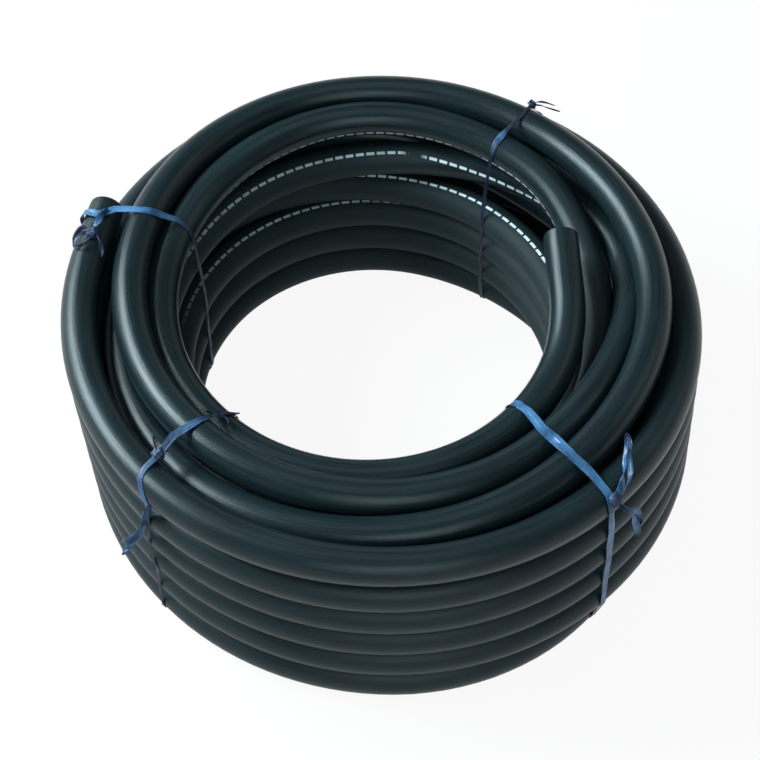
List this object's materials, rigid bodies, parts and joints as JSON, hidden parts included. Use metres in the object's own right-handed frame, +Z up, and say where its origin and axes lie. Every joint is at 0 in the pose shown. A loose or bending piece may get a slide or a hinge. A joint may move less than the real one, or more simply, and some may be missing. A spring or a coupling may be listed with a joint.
{
  "type": "soaker hose",
  "caption": "Coiled black rubber soaker hose bound with blue film ties, with plain cut ends.",
  "frame": {"origin": "middle of the coil's outline, on the ground that it lies on", "axes": "+Z up, out of the coil's eye; front towards -Y"},
  "size_m": [0.3604, 0.3776, 0.1371],
  "materials": {
    "rubber": "satin",
    "film": "glossy, crinkled film"
  },
  "bodies": {
    "root": {"hose_coil": "rubber", "coil_core": "rubber", "inner_hose_end": "rubber", "outer_hose_end": "rubber", "tie_rear_left": "film", "tie_rear_right": "film", "tie_front_left": "film", "tie_front_right": "film"}
  },
  "joints": []
}
